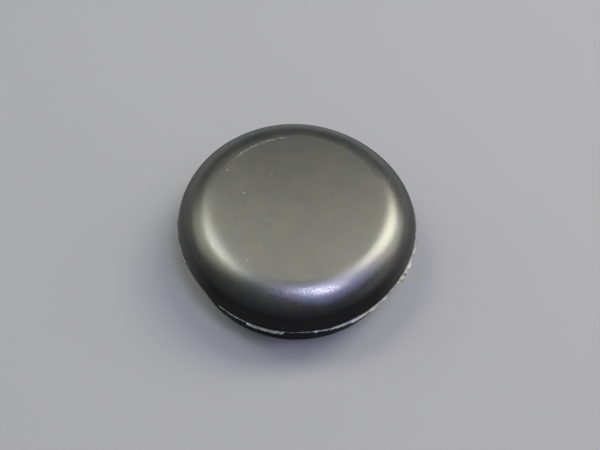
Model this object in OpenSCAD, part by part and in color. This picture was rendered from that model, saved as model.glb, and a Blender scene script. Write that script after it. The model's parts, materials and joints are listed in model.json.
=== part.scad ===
// Closed rubber grommet: a crowned plug that blanks off a round hole in a sheet panel.
// It is one moulding. The edge of the hole sits in the groove, between the crowned flange
// and the retaining lip, and the hollow underside lets the lip fold in as it is pushed through.
// Millimetres. The origin is the centre of the foot, and +Z points up to the flat face.

/* [Panel] */
// Diameter of the hole that the grommet closes
hole_d = 32; // [26:0.5:42]
// Thickness of the panel that the groove grips
panel_t = 2; // [1:0.1:4]
// Clearance between the neck and the edge of the hole, on the radius
neck_play = 0.1; // [0:0.05:0.4]
// Clearance of the groove over the thickness of the panel
panel_play = 0.4; // [0:0.05:0.8]

/* [Flange] */
// How far the flange reaches past the edge of the hole
flange_over = 3; // [2:0.1:6]
// Height of the upright rim, from the seat to the foot of the crown
rim_h = 0.4; // [0.3:0.05:1.5]
// Height of the crown, from the rim to the flat face
crown_h = 4.8; // [3.6:0.1:7]
// Width of the rounded shoulder, from the rim in to the flat face
shoulder_w = 5.9; // [4:0.1:8]

/* [Lip] */
// How far the retaining lip reaches past the edge of the hole
lip_over = 2; // [1:0.1:3]
// Height of the lip, from the foot to the groove
lip_h = 5; // [3.5:0.1:8]
// How far the lead-in draws the foot in from the lip
lead_w = 0.5; // [0.2:0.05:1.2]
// Height of the lead-in
lead_h = 3; // [1.5:0.1:3.2]

/* [Hollow] */
// Thickness of the roof under the flat face
roof_t = 2.8; // [1.5:0.1:4]
// Thickness of the neck wall where the groove meets the lip
neck_t = 2.7; // [1.5:0.1:4]
// Draft of the hollow, in degrees
hollow_draft = 2; // [0.5:0.5:5]

/* [Edges] */
// Radius of the fillets at the root of the groove
root_r = 0.4; // [0.1:0.05:0.7]
// Radius of the edge between the groove and the side of the lip
barb_r = 0.6; // [0.1:0.05:0.9]
// Radius that blends the side of the lip into the lead-in
lead_r = 4; // [1:0.5:6]
// Radius of the outer edge of the foot
foot_r = 0.5; // [0.1:0.05:0.8]
// Radius of the mouth of the hollow
mouth_r = 0.6; // [0.1:0.05:0.9]
// Radius of the corner under the roof
roof_r = 2; // [0.5:0.1:3]

/* [Moulding flash] */
// Thickness of the thin flash left where the mould halves met
flash_t = 0.25; // [0.1:0.05:0.3]
// Mean width of the flash, out from the rim
flash_w = 0.4; // [0.3:0.05:0.8]
// How far the mould halves stood out of line
flash_shift = 0.2; // [0:0.05:0.25]
// Direction in which they stood out of line, in degrees
flash_turn = -60; // [-180:1:180]

/* [Hidden] */
$fn = 144;

// Radii, measured from the axis
hole_r = hole_d / 2;
neck_r = hole_r - neck_play;
flange_r = hole_r + flange_over;
face_r = flange_r - shoulder_w;
lip_r = hole_r + lip_over;

// Heights, measured up from the foot
seat_z = lip_h + panel_t + panel_play;
rim_z = seat_z + rim_h;
face_z = rim_z + crown_h;
roof_z = face_z - roof_t;

// The shoulder is one arc, level where it leaves the flat face, that ends on the rim
shoulder_r = (shoulder_w ^ 2 + crown_h ^ 2) / (2 * crown_h);
shoulder_z = face_z - shoulder_r;

// How far a tool shape runs past the face that it cuts, or into the wall that it fills
spill = 0.2;

// How far an edge's arc dips through the two faces that it joins, so that it ends on both
dip = 0.0002;

// Radius of the hollow at a height: the neck wall is neck_t thick where the groove meets the lip
function hollow_at(z) = neck_r - neck_t + (lip_h - z) * tan(hollow_draft);

// The thin shape between a corner b and an arc of radius r that touches the edges b-a and b-c.
// Taken away it rounds a corner, and added it fillets one.
module corner(a, b, c, r) {
    u = (a - b) / norm(a - b);
    v = (c - b) / norm(c - b);
    half = acos(u * v) / 2;
    centre = b + (u + v) / norm(u + v) * r / sin(half);
    on_a = b + u * r / tan(half);
    on_c = b + v * r / tan(half);
    past = 1 + spill / r;
    difference() {
        polygon([
            centre,
            centre + (on_a - centre) * past,
            b + (b - centre) * spill / r,
            centre + (on_c - centre) * past
        ]);
        translate(centre)
            circle(r = r + dip);
    }
}

// Half section of the crowned flange: flat face, shoulder arc and upright rim.
// The arc runs on past the rim, which trims it. A shoulder whose arc has its centre
// above the seat has the rim upright up to that height too.
module flange_section() {
    translate([0, seat_z])
        square([face_r, face_z - seat_z]);
    intersection() {
        translate([face_r, shoulder_z])
            circle(r = shoulder_r);
        translate([face_r, seat_z])
            square([shoulder_w, face_z - seat_z + spill]);
    }
    if (shoulder_z > seat_z)
        translate([0, seat_z])
            square([flange_r, shoulder_z - seat_z]);
}

// Half section of the neck, the wall at the root of the groove
module neck_section() {
    lip_side = [neck_r, lip_h];
    seat_side = [neck_r, seat_z];
    translate([0, lip_h])
        square([neck_r, seat_z - lip_h]);
    corner([lip_r, lip_h], lip_side, seat_side, root_r);
    corner([flange_r, seat_z], seat_side, lip_side, root_r);
}

// Half section of the retaining lip, with its barbed edge, straight side and lead-in
module lip_section() {
    centre = [0, 0];
    foot = [lip_r - lead_w, 0];
    side = [lip_r, lead_h];
    barb = [lip_r, lip_h];
    neck = [neck_r, lip_h];
    difference() {
        polygon([centre, foot, side, barb, [0, lip_h]]);
        corner(centre, foot, side, foot_r);
        corner(foot, side, barb, lead_r);
        corner(side, barb, neck, barb_r);
    }
}

// Half section of the hollow underside: drafted wall, rounded roof corner and mouth
module hollow_section() {
    below = [hollow_at(-1), -1];
    mouth = [hollow_at(0), 0];
    roof = [hollow_at(roof_z), roof_z];
    difference() {
        polygon([[0, -1], below, roof, [0, roof_z]]);
        corner(mouth, roof, [0, roof_z], roof_r);
    }
    corner([lip_r, 0], mouth, roof, mouth_r);
}

// Thin flash round the lower edge of the rim, wider on the side to which the mould had shifted
module parting_flash() {
    inside_r = (neck_r + flange_r) / 2;
    translate([0, 0, seat_z])
        linear_extrude(flash_t)
            difference() {
                rotate(flash_turn)
                    translate([flash_shift, 0])
                        circle(r = flange_r + flash_w);
                circle(r = inside_r);
            }
}

module grommet() {
    color([0.08, 0.08, 0.08]) {
        rotate_extrude()
            difference() {
                union() {
                    flange_section();
                    neck_section();
                    lip_section();
                }
                hollow_section();
            }
        parting_flash();
    }
}

grommet();
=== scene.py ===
import json
import math

import bpy
from mathutils import Matrix, Vector


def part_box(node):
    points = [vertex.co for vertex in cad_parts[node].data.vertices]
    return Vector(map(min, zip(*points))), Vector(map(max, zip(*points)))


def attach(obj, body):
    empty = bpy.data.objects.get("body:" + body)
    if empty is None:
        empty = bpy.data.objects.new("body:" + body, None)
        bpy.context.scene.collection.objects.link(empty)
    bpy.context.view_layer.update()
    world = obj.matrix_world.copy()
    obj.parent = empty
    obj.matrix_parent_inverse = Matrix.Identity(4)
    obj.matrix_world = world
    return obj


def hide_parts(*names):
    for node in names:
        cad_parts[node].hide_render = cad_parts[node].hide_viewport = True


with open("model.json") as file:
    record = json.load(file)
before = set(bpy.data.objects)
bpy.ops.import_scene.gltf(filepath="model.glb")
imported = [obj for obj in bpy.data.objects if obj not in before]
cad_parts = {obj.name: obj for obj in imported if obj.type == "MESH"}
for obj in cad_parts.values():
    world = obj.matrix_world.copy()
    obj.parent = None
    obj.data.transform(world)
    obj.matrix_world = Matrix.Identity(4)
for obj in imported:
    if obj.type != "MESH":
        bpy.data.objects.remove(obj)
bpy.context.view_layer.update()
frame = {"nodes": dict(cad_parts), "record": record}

mm = 0.001
print("frame loaded:", sorted(frame["nodes"]))


# A wire is one value in a node tree, and can be used in plain sums

class Wire:
    def __init__(self, socket):
        self.socket = socket
        self.tree = socket.id_data

    def calc(self, operation, *others):
        inputs = dict(enumerate((self, *others)))
        return wire(self.tree, "ShaderNodeMath", inputs, operation=operation)

    def __add__(self, other):
        return self.calc("ADD", other)

    def __sub__(self, other):
        return self.calc("SUBTRACT", other)

    def __mul__(self, other):
        return self.calc("MULTIPLY", other)

    def __truediv__(self, other):
        return self.calc("DIVIDE", other)

    def __pow__(self, other):
        return self.calc("POWER", other)

    def __rsub__(self, other):
        return self * -1.0 + other


def plug(socket, value):
    if isinstance(value, Wire):
        socket.id_data.links.new(value.socket, socket)
    else:
        socket.default_value = value


def addNode(tree, kind, inputs=None, **settings):
    node = tree.nodes.new(kind)
    for name, value in settings.items():
        setattr(node, name, value)
    for name, value in (inputs or {}).items():
        plug(node.inputs[name], value)
    return node


def wire(tree, kind, inputs=None, output=0, **settings):
    return Wire(addNode(tree, kind, inputs, **settings).outputs[output])


def vectorMath(operation, *values, output=0):
    inputs = dict(enumerate(values))
    return wire(values[0].tree, "ShaderNodeVectorMath", inputs, output, operation=operation)


def scaled(vector, amount):
    return wire(vector.tree, "ShaderNodeVectorMath", {0: vector, "Scale": amount}, operation="SCALE")


def point(tree, x=0.0, y=0.0, z=0.0):
    return wire(tree, "ShaderNodeCombineXYZ", {"X": x, "Y": y, "Z": z})


def axes(vector):
    return [Wire(socket) for socket in addNode(vector.tree, "ShaderNodeSeparateXYZ", {0: vector}).outputs]


def polar(place):
    # angle round the axis, radius and height
    x, y, z = axes(place)
    return y.calc("ARCTAN2", x), (x ** 2.0 + y ** 2.0).calc("SQRT"), z


def outwards(place):
    # one unit long, level and away from the axis
    return vectorMath("NORMALIZE", vectorMath("MULTIPLY", place, (1.0, 1.0, 0.0)))


def turnBetween(angle, turn):
    return (angle - turn).calc("COSINE").calc("ARCCOSINE")


def remap(value, fromLow, fromHigh, toLow=0.0, toHigh=1.0, kind="SMOOTHSTEP"):
    ends = {"Value": value, "From Min": fromLow, "From Max": fromHigh, "To Min": toLow, "To Max": toHigh}
    return wire(value.tree, "ShaderNodeMapRange", ends, "Result", interpolation_type=kind)


def noise(vector, scale, detail=1.0, roughness=0.5, seed=0.0):
    inputs = {"Vector": vector, "W": seed, "Scale": scale, "Detail": detail, "Roughness": roughness}
    return wire(vector.tree, "ShaderNodeTexNoise", inputs, noise_dimensions="4D")


noiseMiddle = 0.5
noiseSwing = 0.2                       # nearly all of a noise lies this near its middle


def swing(vector, scale, detail=1.0, seed=0.0):
    # noise that swings between -1 and 1
    low, high = noiseMiddle - noiseSwing, noiseMiddle + noiseSwing
    return remap(noise(vector, scale, detail, seed=seed), low, high, -1.0, 1.0, "LINEAR")


def newTree(name, kind, inputs, outputs):
    tree = bpy.data.node_groups.new(name, kind)
    for label, socketType in inputs.items():
        tree.interface.new_socket(label, in_out="INPUT", socket_type="NodeSocket" + socketType)
    for label, socketType in outputs.items():
        tree.interface.new_socket(label, in_out="OUTPUT", socket_type="NodeSocket" + socketType)
    given = {socket.name: Wire(socket) for socket in addNode(tree, "NodeGroupInput").outputs if socket.name}
    made = addNode(tree, "NodeGroupOutput").inputs
    return tree, given, made


# The moulding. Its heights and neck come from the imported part, the rest are its own sizes.

groove = next(mount for mount in frame["record"]["mounts"] if mount["name"] == "panel_groove")
grooveMiddle = groove["pos_m"][2]
grooveWidth = groove["dims"]["length_mm"] * mm

moulding = {
    "faceHeight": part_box("grommet")[1].z,
    "seatHeight": grooveMiddle + grooveWidth / 2,
    "lipHeight": grooveMiddle - grooveWidth / 2,
    "neckRadius": groove["dims"]["r_mm"] * mm,
    "flangeRadius": 19.0 * mm,
    "shoulderWidth": 5.9 * mm,
    "crownHeight": 4.8 * mm,
    "lipRadius": 18.0 * mm,
    "leadWidth": 0.5 * mm,
    "leadHeight": 3.0 * mm,
    "neckWall": 2.7 * mm,
    "hollowDraft": math.radians(2),
    "roofThickness": 2.8 * mm,
    "shoulderShare": 0.999,            # the shoulder's arc stops just short of the rim's corner
    "rimBend": 0.12 * mm,
    "rootBend": 0.4 * mm,
    "barbBend": 0.6 * mm,
    "leadBend": 4.0 * mm,
    "footBend": 0.5 * mm,
    "mouthBend": 0.6 * mm,
    "roofBend": 2.0 * mm,
    "roundInside": 9.5 * mm,           # farther out than this, the rubber has set out of round
    "ovalHeight": 0.07 * mm,
    "ovalTurn": math.radians(-55),
    "threeLobeHeight": 0.13 * mm,
    "threeLobeTurn": math.radians(20),
    "fourLobeHeight": 0.09 * mm,
    "fourLobeTurn": math.radians(2),
    "sinkDepth": 0.06 * mm,            # and the edge of the face sinks a little at one side
    "sinkInside": 12.2 * mm,
    "sinkOutside": 14.1 * mm,
    "sinkTurn": math.radians(200),
    "sinkHalfLength": math.radians(60),
    "ripple": 0.02 * mm,
    "rippleScale": 160.0,
    "bodySeed": 4.0,
    "arcStep": 0.25 * mm,
    "leastSteps": 4.0,
    "wallStep": 0.75 * mm,
    "weldDistance": 0.0005 * mm,
    "stepsAround": 360,
}

# The thin film that squeezed out where the mould halves met, mostly torn away since

flash = {
    "flashThickness": 0.16 * mm,
    "tipShare": 0.3,                   # thickness left at its outer edge
    "flashRoot": 0.3 * mm,             # how far it reaches into the rim
    "buriedDepth": 0.05 * mm,          # where none is left it ends this far inside
    "flashDroop": 0.12,                # fall for each length out
    "tornEnd": math.radians(3),        # length over which a stretch ends
    "raggedShare": 0.35,
    "raggedScale": 450.0,
    "raggedDetail": 2.0,
    "nibbleDepth": 0.1 * mm,
    "nibbleFrom": 0.2 * mm,            # a film narrower than this is nibbled less
    "nibbleScale": 2300.0,
    "waverHeight": 0.1 * mm,
    "waverScale": 420.0,
    "waverSeed": 43.0,
    "tearTurn": math.radians(-30.2),   # a flap torn loose between two slits
    "tearHalfWidth": math.radians(1.8),
    "flapBend": math.radians(0.9),
    "flapDrop": 0.2 * mm,
    "slitShare": 0.75,                 # how much of its width the film keeps at a slit
    "slitInside": math.radians(0.24),
    "slitOutside": math.radians(0.8),
    "slackInside": math.radians(0.48), # beside a slit the film keeps its dark colour, as painted shade
    "slackOutside": math.radians(1.12),
    "flashSeed": 38.0,
    "flashCuts": 3,
    "flashSteps": 1440,
}

# Where it was left standing: middle and half length of each stretch in degrees, reach in mm

stretches = {
    "leftThread": (195, 14, 0.25),
    "leftEnd": (242, 9, 0.2),
    "frontLeft": (258, 10, 0.5),
    "frontThread": (274, 8, 0.15),
    "frontMiddle": (285, 7, 0.34),
    "frontRight": (303, 16, 0.47),
    "lowerRight": (321, 10, 0.3),
    "tornFlap": (330, 5, 0.75),
    "rightTongue": (336, 5, 0.68),
    "upperRight": (344, 9, 0.36),
    "rightThread": (357, 12, 0.2),
    "stub": (9, 3, 0.48),
    "backStub": (128, 2.2, 0.28),
}


def socketName(key):
    # flangeRadius becomes Flange Radius
    return "".join(" " + letter if letter.isupper() else letter for letter in key).title()


def sectionCorners(size):
    crown = size["Crown Height"]
    shoulder = size["Shoulder Width"]
    shoulderBend = (shoulder ** 2.0 + crown ** 2.0) / (crown * 2.0)
    kneeRadius = size["Flange Radius"] - shoulder + shoulderBend * crown / shoulder
    roofHeight = size["Face Height"] - size["Roof Thickness"]
    draft = size["Hollow Draft"].calc("TANGENT")
    hollowAtLip = size["Neck Radius"] - size["Neck Wall"]
    return [  # radius, height and bend of each corner, from the middle of the face round to the roof
        (0.0, size["Face Height"], 0.0),
        (kneeRadius, size["Face Height"], shoulderBend * size["Shoulder Share"]),
        (size["Flange Radius"], size["Face Height"] - crown, 0.0),
        (size["Flange Radius"], size["Seat Height"], size["Rim Bend"]),
        (size["Neck Radius"], size["Seat Height"], size["Root Bend"]),
        (size["Neck Radius"], size["Lip Height"], size["Root Bend"]),
        (size["Lip Radius"], size["Lip Height"], size["Barb Bend"]),
        (size["Lip Radius"], size["Lead Height"], size["Lead Bend"]),
        (size["Lip Radius"] - size["Lead Width"], 0.0, size["Foot Bend"]),
        (hollowAtLip + size["Lip Height"] * draft, 0.0, size["Mouth Bend"]),
        (hollowAtLip + (size["Lip Height"] - roofHeight) * draft, roofHeight, size["Roof Bend"]),
        (0.0, roofHeight, 0.0),
    ]


def pickByIndex(tree, kind, values):
    picker = tree.nodes.new("GeometryNodeIndexSwitch")
    picker.data_type = kind
    while len(picker.index_switch_items) < len(values):
        picker.index_switch_items.new()
    plug(picker.inputs["Index"], wire(tree, "GeometryNodeInputIndex"))
    for number, value in enumerate(values):
        plug(picker.inputs[str(number)], value)
    return Wire(picker.outputs[0])


def sectionCurve(tree, size):
    corners = sectionCorners(size)
    places = pickByIndex(tree, "VECTOR", [point(tree, radius, height) for radius, height, bend in corners])
    bends = pickByIndex(tree, "FLOAT", [bend for radius, height, bend in corners])
    steps = bends / size["Arc Step"] + size["Least Steps"]
    line = wire(tree, "GeometryNodeCurvePrimitiveLine")
    line = wire(tree, "GeometryNodeResampleCurve", {"Curve": line, "Count": len(corners)})
    line = wire(tree, "GeometryNodeSetPosition", {"Geometry": line, "Position": places})
    line = wire(tree, "GeometryNodeFilletCurve",
                {"Curve": line, "Radius": bends, "Count": steps}, mode="POLY")
    here = wire(tree, "GeometryNodeInputPosition")
    following = wire(tree, "GeometryNodeInputIndex") + 1.0
    ahead = wire(tree, "GeometryNodeFieldAtIndex",
                 {"Index": following, "Value": here}, data_type="FLOAT_VECTOR")
    gap = vectorMath("DISTANCE", ahead, here, output="Value")
    cuts = (gap / size["Wall Step"]).calc("FLOOR")
    return wire(tree, "GeometryNodeSubdivideCurve", {"Curve": line, "Cuts": cuts})


def lobe(angle, count, height, turn):
    return ((angle - turn) * count).calc("COSINE") * height


def outOfRound(size, angle):
    oval = lobe(angle, 2.0, size["Oval Height"], size["Oval Turn"])
    threeLobes = lobe(angle, 3.0, size["Three Lobe Height"], size["Three Lobe Turn"])
    fourLobes = lobe(angle, 4.0, size["Four Lobe Height"], size["Four Lobe Turn"])
    return oval + threeLobes + fourLobes


def sweepRing(tree, steps, radius, profile):
    ring = wire(tree, "GeometryNodeCurvePrimitiveCircle", {"Resolution": steps, "Radius": radius})
    return wire(tree, "GeometryNodeCurveToMesh", {"Curve": ring, "Profile Curve": profile})


def revolvedBody(tree, size):
    # the section is drawn outwards from the axis, and swept from where the rim is
    toRim = point(tree, size["Flange Radius"] * -1.0)
    section = wire(tree, "GeometryNodeTransform",
                   {"Geometry": sectionCurve(tree, size), "Scale": (1.0, -1.0, 1.0), "Translation": toRim})
    body = sweepRing(tree, size["Steps Around"], size["Flange Radius"], section)
    body = wire(tree, "GeometryNodeMergeByDistance", {"Geometry": body, "Distance": size["Weld Distance"]})

    place = wire(tree, "GeometryNodeInputPosition")
    angle, radius, height = polar(place)
    above = remap(height, 0.0, size["Seat Height"])
    push = outOfRound(size, angle) * remap(radius, size["Round Inside"], size["Flange Radius"]) * above
    sunken = remap(turnBetween(angle, size["Sink Turn"]), size["Sink Half Length"], 0.0)
    sink = remap(radius, size["Sink Inside"], size["Sink Outside"]) * sunken * size["Sink Depth"] * above
    ripple = noise(place, size["Ripple Scale"], seed=size["Body Seed"]) - noiseMiddle
    rise = ripple * size["Ripple"] * above
    move = vectorMath("SUBTRACT", scaled(outwards(place), push), point(tree, z=sink))
    move = vectorMath("ADD", move, scaled(wire(tree, "GeometryNodeInputNormal"), rise))
    return wire(tree, "GeometryNodeSetPosition", {"Geometry": body, "Offset": move})


def standingFilm(size, rim, angle):
    # how far the film stands out of the rim at each angle
    width = angle * 0.0
    for key in stretches:
        name = socketName(key)
        away = turnBetween(angle, size[name + " Turn"])
        end = size[name + " Half Length"]
        stretch = remap(away, end, end - size["Torn End"]) * size[name + " Reach"]
        width = width.calc("MAXIMUM", stretch)
    ragged = swing(rim, size["Ragged Scale"], size["Ragged Detail"], size["Flash Seed"])
    nibble = swing(rim, size["Nibble Scale"], seed=size["Flash Seed"]) * size["Nibble Depth"]
    nibble *= remap(width, 0.0, size["Nibble From"])
    return width * (ragged * size["Ragged Share"] + 1.0) + nibble


def tear(size, angle):
    # the share of width left at the two slits, the fall of the flap between them, and the share that may
    # pale, which is none beside the slits, where the film stays dark as painted shade
    fromTear = turnBetween(angle, size["Tear Turn"])
    fromSlit = (fromTear - size["Tear Half Width"]).calc("ABSOLUTE")
    left = remap(fromSlit, size["Slit Inside"], size["Slit Outside"], size["Slit Share"])
    fall = remap(fromTear, size["Tear Half Width"], size["Flap Bend"]) * size["Flap Drop"]
    # painted shade: beside each slit the film is kept dark
    paleShare = remap(fromSlit, size["Slack Inside"], size["Slack Outside"])
    return left, fall, paleShare


def attribute(tree, name):
    return wire(tree, "GeometryNodeInputNamedAttribute", {"Name": name}, data_type="FLOAT")


def keep(geometry, name, value):
    inputs = {"Geometry": geometry, "Name": name, "Value": value}
    return wire(geometry.tree, "GeometryNodeStoreNamedAttribute", inputs, data_type="FLOAT", domain="POINT")


def raggedFlash(tree, size):
    # a strip one unit wide and deep is swept round, and its points are then placed by their two shares
    strip = wire(tree, "GeometryNodeCurvePrimitiveQuadrilateral", {"Width": 1.0, "Height": 1.0})
    strip = wire(tree, "GeometryNodeSubdivideCurve", {"Curve": strip, "Cuts": size["Flash Cuts"]})
    x, y = axes(wire(tree, "GeometryNodeInputPosition"))[:2]
    strip = keep(keep(strip, "outShare", x + 0.5), "downShare", y + 0.5)
    strip = wire(tree, "GeometryNodeTransform", {"Geometry": strip, "Scale": (mm, mm, mm)})
    film = sweepRing(tree, size["Flash Steps"], size["Flange Radius"], strip)

    outShare, downShare = attribute(tree, "outShare"), attribute(tree, "downShare")
    place = wire(tree, "GeometryNodeInputPosition")
    rim = scaled(outwards(place), size["Flange Radius"])
    angle = polar(place)[0]
    left, fall, paleShare = tear(size, angle)
    width = (standingFilm(size, rim, angle) * left).calc("MAXIMUM", 0.0) - size["Buried Depth"]
    out = outShare * (width + size["Flash Root"]) - size["Flash Root"]
    bare = out.calc("MAXIMUM", 0.0)
    waver = swing(rim, size["Waver Scale"], seed=size["Waver Seed"]) * size["Waver Height"]
    sag = bare * size["Flash Droop"] + (waver + fall) * outShare ** 2.0
    thickness = size["Flash Thickness"] * remap(outShare, 0.0, 1.0, 1.0, size["Tip Share"], "LINEAR")
    newRadius = size["Flange Radius"] + outOfRound(size, angle) + out
    newHeight = size["Seat Height"] + size["Flash Thickness"] - sag - downShare * thickness
    newPlace = vectorMath("ADD", scaled(outwards(place), newRadius), point(tree, z=newHeight))
    film = wire(tree, "GeometryNodeSetPosition", {"Geometry": film, "Position": newPlace})
    return keep(keep(film, "film", 1.0), "reach", bare * paleShare)


def grommetTree(numbers):
    inputs = {name: "Int" if isinstance(value, int) else "Float" for name, value in numbers.items()}
    inputs.update({"Rubber": "Material", "Torn Rubber": "Material"})
    tree, size, made = newTree("grommetForm", "GeometryNodeTree", inputs, {"Geometry": "Geometry"})
    tree.is_modifier = True
    join = tree.nodes.new("GeometryNodeJoinGeometry")
    for part in (raggedFlash(tree, size), revolvedBody(tree, size)):
        plug(join.inputs[0], part)
    whole = wire(tree, "GeometryNodeSetShadeSmooth", {"Geometry": Wire(join.outputs[0])})
    whole = wire(tree, "GeometryNodeRealizeInstances", {"Geometry": whole})
    whole = wire(tree, "GeometryNodeSetMaterial", {"Geometry": whole, "Material": size["Rubber"]})
    isFilm = attribute(tree, "film").calc("GREATER_THAN", 0.5)
    whole = wire(tree, "GeometryNodeSetMaterial",
                 {"Geometry": whole, "Selection": isFilm, "Material": size["Torn Rubber"]})
    plug(made[0], whole)
    return tree


def growMesh(name, tree, values):
    piece = bpy.data.objects.new(name, bpy.data.meshes.new(name))
    bpy.context.scene.collection.objects.link(piece)
    modifier = piece.modifiers.new(name, "NODES")
    modifier.node_group = tree
    for socket in tree.interface.items_tree:
        if socket.in_out == "INPUT":
            modifier[socket.identifier] = values[socket.name]
    graph = bpy.context.evaluated_depsgraph_get()
    grown = piece.evaluated_get(graph)
    mesh = bpy.data.meshes.new_from_object(grown, preserve_all_data_layers=True, depsgraph=graph)
    if mesh.materials[0] is None:
        mesh.materials.pop(index=0)        # the empty slot that the bare mesh came with
    piece.modifiers.remove(modifier)
    piece.data = mesh
    return piece


# Finishes. Each shared effect is one node group.

# Noise made into patches: those below low are bare, and those above high are full

patchKinds = {
    "clouds": {"detail": 3.0, "roughness": 0.55, "seed": 2.0, "low": 0.35, "high": 0.65},
    "tints": {"detail": 2.0, "roughness": 0.5, "seed": 7.0, "low": 0.35, "high": 0.65},
    "flecks": {"detail": 1.0, "roughness": 0.6, "seed": 3.0, "low": 0.38, "high": 0.62},
    # the next kind breaks up the painted highlight along the face's edge
    "edgeHighlight": {"detail": 3.0, "roughness": 0.6, "seed": 5.0, "low": 0.45, "high": 0.6},
    "marks": {"detail": 2.0, "roughness": 0.55, "seed": 6.0, "low": 0.58, "high": 0.7},
}


def patches(kind, vector, scale):
    look = patchKinds[kind]
    cloudy = noise(vector, scale, look["detail"], look["roughness"], look["seed"])
    return remap(cloudy, look["low"], look["high"])


def mouldedGrain():
    inputs = {"Vector": "Vector", "Grain Scale": "Float", "Grain Depth": "Float",
              "Ripple Scale": "Float", "Ripple Depth": "Float"}
    tree, given, made = newTree("mouldedGrain", "ShaderNodeTree", inputs, {"Height": "Float"})
    fine = noise(given["Vector"], given["Grain Scale"], detail=2.0, roughness=0.6) * given["Grain Depth"]
    broad = noise(given["Vector"], given["Ripple Scale"], seed=1.0) * given["Ripple Depth"]
    plug(made["Height"], fine + broad)
    return tree


def bloomClouds():
    # bloom that rubber sweats out, in soft clouds of two tints and in fine flecks
    inputs = {"Vector": "Vector", "Cloud Scale": "Float", "Tint Scale": "Float", "Fleck Scale": "Float"}
    outputs = {"Clouds": "Float", "Tints": "Float", "Flecks": "Float"}
    tree, given, made = newTree("bloomClouds", "ShaderNodeTree", inputs, outputs)
    plug(made["Clouds"], patches("clouds", given["Vector"], given["Cloud Scale"]))
    plug(made["Tints"], patches("tints", given["Vector"], given["Tint Scale"]))
    plug(made["Flecks"], patches("flecks", given["Vector"], given["Fleck Scale"]))
    return tree


def dustSpecks():
    # a few grains of dust: small cells, of which most are left out
    inputs = {"Vector": "Vector", "Cell Scale": "Float", "Grain Size": "Float", "Smallest": "Float",
              "Faintest": "Float", "Share": "Float"}
    tree, given, made = newTree("dustSpecks", "ShaderNodeTree", inputs, {"Mask": "Float"})
    cells = addNode(tree, "ShaderNodeTexVoronoi", {"Vector": given["Vector"], "Scale": given["Cell Scale"]})
    split = addNode(tree, "ShaderNodeSeparateColor", {0: Wire(cells.outputs["Color"])})
    red, green, blue = [Wire(socket) for socket in split.outputs]
    chosen = red.calc("LESS_THAN", given["Share"])
    reach = given["Grain Size"] * remap(green, 0.0, 1.0, given["Smallest"], 1.0, "LINEAR")
    strength = remap(blue, 0.0, 1.0, given["Faintest"], 1.0, "LINEAR")
    near = Wire(cells.outputs["Distance"])
    plug(made["Mask"], remap(near, reach, reach / 2.0) * chosen * strength)
    return tree


def paintedEdgeHighlight():
    # a painted highlight along a round edge, given by its radius and its height, in broken patches, most of
    # it round one side
    inputs = {"Vector": "Vector", "Edge Radius": "Float", "Edge Height": "Float", "Width": "Float",
              "Wander": "Float", "Wander Scale": "Float", "Patch Scale": "Float", "Worn Turn": "Float",
              "Worn Half Length": "Float", "Brightest Half Length": "Float", "Elsewhere": "Float"}
    tree, given, made = newTree("paintedEdgeHighlight", "ShaderNodeTree", inputs, {"Mask": "Float"})
    angle, radius, height = polar(given["Vector"])
    wander = (noise(given["Vector"], given["Wander Scale"], seed=4.0) - noiseMiddle) * given["Wander"]
    across = radius - given["Edge Radius"] + wander
    away = (across ** 2.0 + (height - given["Edge Height"]) ** 2.0).calc("SQRT")
    fromBrightSide = turnBetween(angle, given["Worn Turn"])
    brightSide = remap(fromBrightSide, given["Worn Half Length"], given["Brightest Half Length"], given["Elsewhere"], 1.0)
    broken = patches("edgeHighlight", given["Vector"], given["Patch Scale"])
    plug(made["Mask"], remap(away, given["Width"], 0.0) * broken * brightSide)
    return tree


def rubMarks():
    # short marks that run round the axis
    inputs = {"Vector": "Vector", "Length Scale": "Float", "Fineness": "Float"}
    tree, given, made = newTree("rubMarks", "ShaderNodeTree", inputs, {"Mask": "Float"})
    radius, height = polar(given["Vector"])[1:]
    around = scaled(outwards(given["Vector"]), given["Length Scale"])
    unrolled = vectorMath("ADD", around, point(tree, z=(radius - height) * given["Fineness"]))
    plug(made["Mask"], patches("marks", unrolled, 1.0))
    return tree


effects = {make.__name__: make() for make in (mouldedGrain, bloomClouds, dustSpecks, paintedEdgeHighlight, rubMarks)}

# What the bare rubber and the torn film have in common

bothLooks = {
    "dustColour": (0.5, 0.5, 0.47, 1.0),
    "markColour": (0.02, 0.02, 0.02, 1.0),
    "tintStrength": 0.7,
    "markStrength": 0.6,
    "fleckLow": 12.2 * mm,             # few flecks and marks on the flat face
    "fleckHigh": 12.55 * mm,
    "markLow": 12.5 * mm,
    "markHigh": 12.58 * mm,
    "onFace": 0.08,
    "fleckTurn": math.radians(-80),    # most flecks are at the front
    "fleckHalfLength": math.radians(32),
    "thickHalfLength": math.radians(12.8),
    "fleckElsewhere": 0.35,
    "markRoughness": 0.24,
    "dustScale": 700.0,
    "dustSize": 0.1,
    "dustSmallest": 0.3,
    "dustFaintest": 0.4,
    "dustShare": 0.22,
    "dustHeight": 0.01 * mm,
    "markLength": 4.0,
    "markFineness": 2600.0,
    "markHeight": 0.002 * mm,
    "rippleScale": 700.0,
    "rippleDepth": 0.01 * mm,
}

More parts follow.
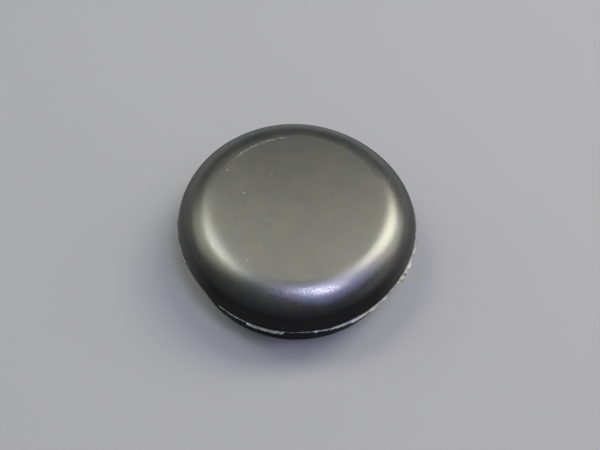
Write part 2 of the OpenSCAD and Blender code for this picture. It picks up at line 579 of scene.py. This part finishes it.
rubberLook = {
    **bothLooks,
    "colour": (0.0065, 0.0065, 0.0066, 1.0),
    "bloomColour": (0.026, 0.024, 0.013, 1.0),
    "coolColour": (0.004, 0.01, 0.015, 1.0),
    "roughness": 0.33,
    "fleckRoughness": 0.23,            # tiny smooth spots that sparkle where the light is mirrored
    "ior": 1.8,
    "specular": 1.0,
    "cloudScale": 300.0,
    "tintScale": 390.0,
    "fleckScale": 3600.0,
    "grainScale": 2900.0,
    "grainDepth": 0.012 * mm,
    # a pale painted highlight along the face's edge, brightest at the back left and faint elsewhere, with a
    # rougher finish under it
    "edgeHighlightColour": (0.18, 0.18, 0.165, 1.0),
    "edgeHighlightRoughness": 0.4,
    "edgeHighlightWidth": 0.32 * mm,
    "edgeHighlightWander": 0.64 * mm,
    "edgeHighlightWanderScale": 150.0,
    "edgeHighlightPatches": 2700.0,
    "edgeHighlightTurn": math.radians(120),
    "edgeHighlightHalfLength": math.radians(24),
    "brightestHalfLength": math.radians(14.4),
    "edgeHighlightElsewhere": 0.15,
    "dullShadeLow": 9.8 * mm,               # below this height a dull coat with a dark tint puts painted shade on the lower part
    "dullShadeHigh": 12.0 * mm,
    "dullShadeSides": 0.5,                  # and less of it on the left and right sides
    "sidesFrom": 11.4 * mm,
    "sidesTo": 19.0 * mm,
    "dullShadeTint": (0.1, 0.1, 0.1, 1.0),
    "dullIor": 1.25,
    "dullRoughness": 0.6,
}

tornLook = {
    **bothLooks,
    "colour": (0.02, 0.02, 0.019, 1.0),
    "bloomColour": (0.07, 0.07, 0.065, 1.0),
    "coolColour": (0.03, 0.026, 0.022, 1.0),
    "stretchedAndSheenColour": (0.42, 0.42, 0.39, 1.0),     # rubber pales where it has been drawn thin, and the same pale colour paints a highlight on the film
    "stretchedAndSheenFrom": 0.34 * mm,
    "leastPale": 0.25,
    "roughness": 0.45,
    "fleckRoughness": 0.2,
    "ior": 1.6,
    "specular": 0.8,
    "cloudScale": 740.0,
    "tintScale": 962.0,
    "fleckScale": 2600.0,
    "grainScale": 3200.0,
    "grainDepth": 0.02 * mm,
}


def effect(name, tree, inputs):
    node = tree.nodes.new("ShaderNodeGroup")
    node.node_tree = effects[name]
    for label, value in inputs.items():
        plug(node.inputs[label], value)
    return {socket.name: Wire(socket) for socket in node.outputs}


def blend(mask, first, second, kind="RGBA"):
    node = addNode(mask.tree, "ShaderNodeMix", data_type=kind)
    sockets = [socket for socket in node.inputs if socket.enabled]
    for socket, value in zip(sockets, (mask, first, second)):
        plug(socket, value)
    return Wire(next(socket for socket in node.outputs if socket.enabled))


def edgeScuffs(tree, place, look):
    # the mask of the painted highlight along the face's edge
    return effect("paintedEdgeHighlight", tree, {
        "Vector": place,
        "Edge Height": moulding["faceHeight"],
        "Edge Radius": moulding["flangeRadius"] - moulding["shoulderWidth"],
        "Width": look["edgeHighlightWidth"],
        "Wander": look["edgeHighlightWander"],
        "Wander Scale": look["edgeHighlightWanderScale"],
        "Patch Scale": look["edgeHighlightPatches"],
        "Worn Turn": look["edgeHighlightTurn"],
        "Worn Half Length": look["edgeHighlightHalfLength"],
        "Brightest Half Length": look["brightestHalfLength"],
        "Elsewhere": look["edgeHighlightElsewhere"],
    })["Mask"]


def rubberMaterial(name, look):
    material = bpy.data.materials.new(name)
    material.use_nodes = True
    tree = material.node_tree
    tree.nodes.clear()
    shader = tree.nodes.new("ShaderNodeBsdfPrincipled")
    surface = tree.nodes.new("ShaderNodeOutputMaterial")
    tree.links.new(shader.outputs[0], surface.inputs[0])
    shader.inputs["IOR"].default_value = look["ior"]
    shader.inputs["Specular IOR Level"].default_value = look["specular"]

    place = wire(tree, "ShaderNodeTexCoord", output="Object")
    x, y, height = axes(place)
    bloom = effect("bloomClouds", tree, {"Vector": place, "Cloud Scale": look["cloudScale"],
                                         "Tint Scale": look["tintScale"], "Fleck Scale": look["fleckScale"]})
    dust = effect("dustSpecks", tree, {"Vector": place, "Cell Scale": look["dustScale"],
                                       "Grain Size": look["dustSize"], "Smallest": look["dustSmallest"],
                                       "Faintest": look["dustFaintest"], "Share": look["dustShare"]})["Mask"]
    marks = effect("rubMarks", tree, {"Vector": place, "Length Scale": look["markLength"],
                                      "Fineness": look["markFineness"]})["Mask"]
    marks *= remap(height, look["markLow"], look["markHigh"], 1.0, look["onFace"])
    fromFlecks = turnBetween(y.calc("ARCTAN2", x), look["fleckTurn"])
    flecks = bloom["Flecks"] * remap(height, look["fleckLow"], look["fleckHigh"], 1.0, look["onFace"])
    thick, thin = look["thickHalfLength"], look["fleckHalfLength"]
    flecks *= remap(fromFlecks, thick, thin, 1.0, look["fleckElsewhere"])

    colour = blend(bloom["Clouds"], look["colour"], look["bloomColour"])
    colour = blend(bloom["Tints"] * look["tintStrength"], colour, look["coolColour"])
    # the film pales the farther it stands out: partly rubber drawn thin, partly a painted highlight
    if "stretchedAndSheenColour" in look:
        reach = wire(tree, "ShaderNodeAttribute", output="Fac", attribute_name="reach")
        cloudy = remap(bloom["Clouds"], 0.0, 1.0, look["leastPale"], 1.0, "LINEAR")
        colour = blend(remap(reach, 0.0, look["stretchedAndSheenFrom"]) * cloudy, colour, look["stretchedAndSheenColour"])
    colour = blend(marks * look["markStrength"], colour, look["markColour"])

    # painted shade: a dull coat with a dark tint darkens the lower part, less at the left and right sides
    if "dullShadeLow" in look:
        shader.inputs["Coat IOR"].default_value = look["dullIor"]
        shader.inputs["Coat Tint"].default_value = look["dullShadeTint"]
        shader.inputs["Coat Roughness"].default_value = look["dullRoughness"]
        dullShade = remap(height, look["dullShadeLow"], look["dullShadeHigh"], 1.0, 0.0)
        sides = remap(x.calc("ABSOLUTE"), look["sidesFrom"], look["sidesTo"], 1.0, look["dullShadeSides"])
        plug(shader.inputs["Coat Weight"], dullShade * sides)
        flecks *= 1.0 - dullShade
    rough = blend(flecks, look["roughness"], look["fleckRoughness"], "FLOAT")
    rough = blend(marks, rough, look["markRoughness"], "FLOAT")
    # painted highlight: the face's edge is paled in broken patches, most of all at the back left
    if "edgeHighlightColour" in look:
        edgeHighlight = edgeScuffs(tree, place, look)
        colour = blend(edgeHighlight, colour, look["edgeHighlightColour"])
        rough = blend(edgeHighlight, rough, look["edgeHighlightRoughness"], "FLOAT")
    plug(shader.inputs["Base Color"], blend(dust, colour, look["dustColour"]))
    plug(shader.inputs["Roughness"], rough)

    grain = effect("mouldedGrain", tree, {"Vector": place, "Grain Scale": look["grainScale"],
                                          "Grain Depth": look["grainDepth"],
                                          "Ripple Scale": look["rippleScale"],
                                          "Ripple Depth": look["rippleDepth"]})["Height"]
    relief = grain + marks * look["markHeight"] + dust * look["dustHeight"]
    plug(shader.inputs["Normal"], wire(tree, "ShaderNodeBump", {"Height": relief, "Distance": 1.0}))
    return material


numbers = {socketName(key): value for key, value in {**moulding, **flash}.items()}
for key, (turn, halfLength, reach) in stretches.items():
    numbers[socketName(key) + " Turn"] = math.radians(turn)
    numbers[socketName(key) + " Half Length"] = math.radians(halfLength)
    numbers[socketName(key) + " Reach"] = reach * mm
finishes = {"Rubber": rubberMaterial("blackRubber", rubberLook),
            "Torn Rubber": rubberMaterial("tornRubber", tornLook)}
print("finishes:", ", ".join(finish.name for finish in finishes.values()))
grommet = growMesh("rubberGrommet", grommetTree(numbers), {**numbers, **finishes})
print("grommet:", len(grommet.data.vertices), "points,", len(grommet.data.polygons), "faces")
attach(grommet, "root")
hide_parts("grommet")


# Floor, lights and camera

studio = {
    "floorSize": 1.6,
    "floorColour": (0.36, 0.36, 0.365, 1.0),
    "farColour": (0.8, 0.8, 0.81, 1.0),          # lighter far out, where less light falls
    "nearReach": 0.15,
    "farReach": 0.8,
    "floorRoughness": 0.9,
    "floorSpecular": 0.1,
    "ambient": 0.11,
    "walls": 0.38,                               # pale walls round the table
    "wallTop": math.sin(math.radians(3)),
    "wallFade": math.sin(math.radians(14)),
    "distance": 0.6,
    # azimuth from the back towards the right, elevation, spreads across and up, brightness and colour
    "softboxes": {
        "rightKey": (57, 51, 22, 31, 7.0, (1.0, 0.98, 0.78)),
        "rightFill": (76, 33, 30, 34, 1.8, (1.0, 0.97, 0.83)),
        "leftKey": (-60, 58.3, 24, 20, 4.9, (0.97, 1.0, 0.86)),
        "leftFill": (-78, 41, 32, 42, 1.1, (0.99, 1.0, 0.76)),
        "rightLow": (108, 12, 30, 16, 0.5, (1.0, 0.98, 0.95)),
        "backFill": (-2, 62, 34, 8, 2.5, (1.0, 0.99, 0.74)),
        "frontKey": (129, 73, 9, 24, 13.5, (0.77, 0.76, 1.0)),
        "frontFill": (125, 66, 48, 55, 1.1, (0.45, 0.48, 1.0)),
    },
}


def addFloor():
    half = studio["floorSize"] / 2
    corners = [(-half, -half, 0), (half, -half, 0), (half, half, 0), (-half, half, 0)]
    mesh = bpy.data.meshes.new("floor")
    mesh.from_pydata(corners, [], [range(len(corners))])
    floor = bpy.data.objects.new("floor", mesh)
    bpy.context.scene.collection.objects.link(floor)
    material = bpy.data.materials.new("floorCard")
    material.use_nodes = True
    tree = material.node_tree
    shader = tree.nodes["Principled BSDF"]
    away = vectorMath("LENGTH", wire(tree, "ShaderNodeTexCoord", output="Object"), output="Value")
    far = remap(away, studio["nearReach"], studio["farReach"])
    plug(shader.inputs["Base Color"], blend(far, studio["floorColour"], studio["farColour"]))
    shader.inputs["Roughness"].default_value = studio["floorRoughness"]
    shader.inputs["Specular IOR Level"].default_value = studio["floorSpecular"]
    mesh.materials.append(material)


def addSoftbox(name, azimuth, elevation, spreadAcross, spreadUp, brightness, colour):
    distance = studio["distance"]
    light = bpy.data.lights.new(name, "AREA")
    light.shape = "RECTANGLE"
    light.size = 2 * distance * math.tan(math.radians(spreadAcross / 2))
    light.size_y = 2 * distance * math.tan(math.radians(spreadUp / 2))
    light.energy = brightness * math.pi * light.size * light.size_y
    light.color = colour
    lamp = bpy.data.objects.new(name, light)
    bpy.context.scene.collection.objects.link(lamp)
    turn, rise = math.radians(azimuth), math.radians(elevation)
    towards = Vector((math.sin(turn) * math.cos(rise), math.cos(turn) * math.cos(rise), math.sin(rise)))
    lamp.location = towards * distance + Vector((0, 0, moulding["faceHeight"]))
    lamp.rotation_euler = towards.to_track_quat("Z", "Y").to_euler()
    lamp.visible_camera = False


def addWorld():
    world = bpy.data.worlds.new("studio")
    bpy.context.scene.world = world
    world.use_nodes = True
    sky = world.node_tree.nodes["Background"]
    sky.inputs["Color"].default_value = (1.0, 1.0, 1.0, 1.0)
    up = axes(wire(world.node_tree, "ShaderNodeTexCoord"))[2]
    strength = remap(up, studio["wallTop"], studio["wallFade"], studio["walls"], studio["ambient"])
    plug(sky.inputs["Strength"], strength)


addFloor()
for name, values in studio["softboxes"].items():
    addSoftbox(name, *values)
addWorld()
print("studio:", len(studio["softboxes"]), "softboxes")

view = {
    "lens": 36.0,
    "sensor": 36.0,
    "place": (0.57 * mm, -51.74 * mm, 89.29 * mm),
    "tilt": math.radians(31.84),
    "roll": math.radians(2.24),
    "nearest": 5.0 * mm,
}
cameraData = bpy.data.cameras.new("camera")
cameraData.sensor_width = view["sensor"]
cameraData.lens = view["lens"]
cameraData.clip_start = view["nearest"]
camera = bpy.data.objects.new("camera", cameraData)
bpy.context.scene.collection.objects.link(camera)
camera.matrix_world = (Matrix.Translation(view["place"]) @ Matrix.Rotation(view["tilt"], 4, "X")
                       @ Matrix.Rotation(view["roll"], 4, "Z"))
bpy.context.scene.camera = camera
bpy.context.scene.view_settings.view_transform = "Standard"
print("camera ready")
